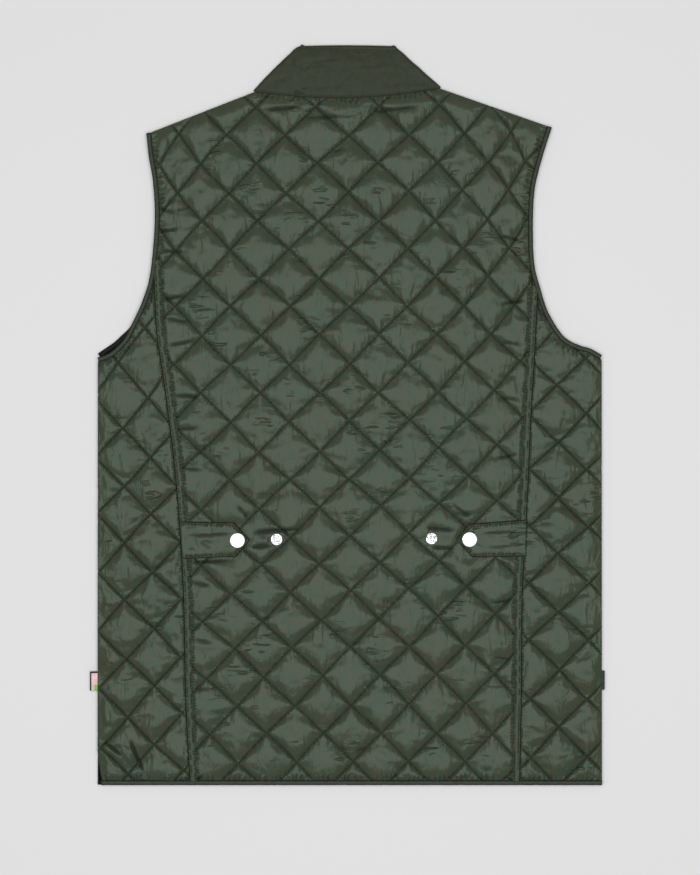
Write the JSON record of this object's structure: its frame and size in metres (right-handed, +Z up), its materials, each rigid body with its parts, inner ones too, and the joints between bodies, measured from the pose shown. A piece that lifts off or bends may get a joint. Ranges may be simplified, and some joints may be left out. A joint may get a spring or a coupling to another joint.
{
  "type": "quilted vest",
  "caption": "Sleeveless diamond-quilted vest with a stand collar, bound armholes and hem, and pointed snap tabs at the waist, laid flat with its back up.",
  "frame": {"origin": "on the surface it lies on, under the middle of the vest's overall box", "axes": "+X across the vest to the right as seen from above, +Y from the hem to the collar, +Z up, away from the surface"},
  "size_m": [0.5456, 0.7862, 0.0114],
  "materials": {
    "quilt_cloth": "dark olive polyester taffeta with a soft sheen, padded and quilted in diamonds",
    "plain_cloth": "dark olive polyester taffeta, plain and lightly creased",
    "trim_cloth": "dark olive folded binding tape with stitched edge",
    "label_cloth": "pale pink woven label, folded",
    "snap_metal": "bright silver press snaps"
  },
  "bodies": {
    "root": {"back_centre": "quilt_cloth", "back_side_left": "quilt_cloth", "back_side_right": "quilt_cloth", "front_left": "quilt_cloth", "front_right": "quilt_cloth", "collar": "plain_cloth", "waist_tab_left": "plain_cloth", "waist_tab_right": "plain_cloth", "armhole_binding_left": "trim_cloth", "armhole_binding_right": "trim_cloth", "front_armhole_binding_left": "trim_cloth", "front_armhole_binding_right": "trim_cloth", "hem_binding_back": "trim_cloth", "hem_binding_front_left": "trim_cloth", "hem_binding_front_right": "trim_cloth", "collar_binding": "trim_cloth", "side_loop": "trim_cloth", "side_label": "label_cloth", "snap_cap_left": "snap_metal", "snap_cap_right": "snap_metal", "snap_stud_left": "snap_metal", "snap_stud_right": "snap_metal", "front_snap_1": "snap_metal", "front_snap_2": "snap_metal", "front_snap_3": "snap_metal", "front_snap_4": "snap_metal", "front_snap_5": "snap_metal", "front_snap_6": "snap_metal"}
  },
  "joints": []
}
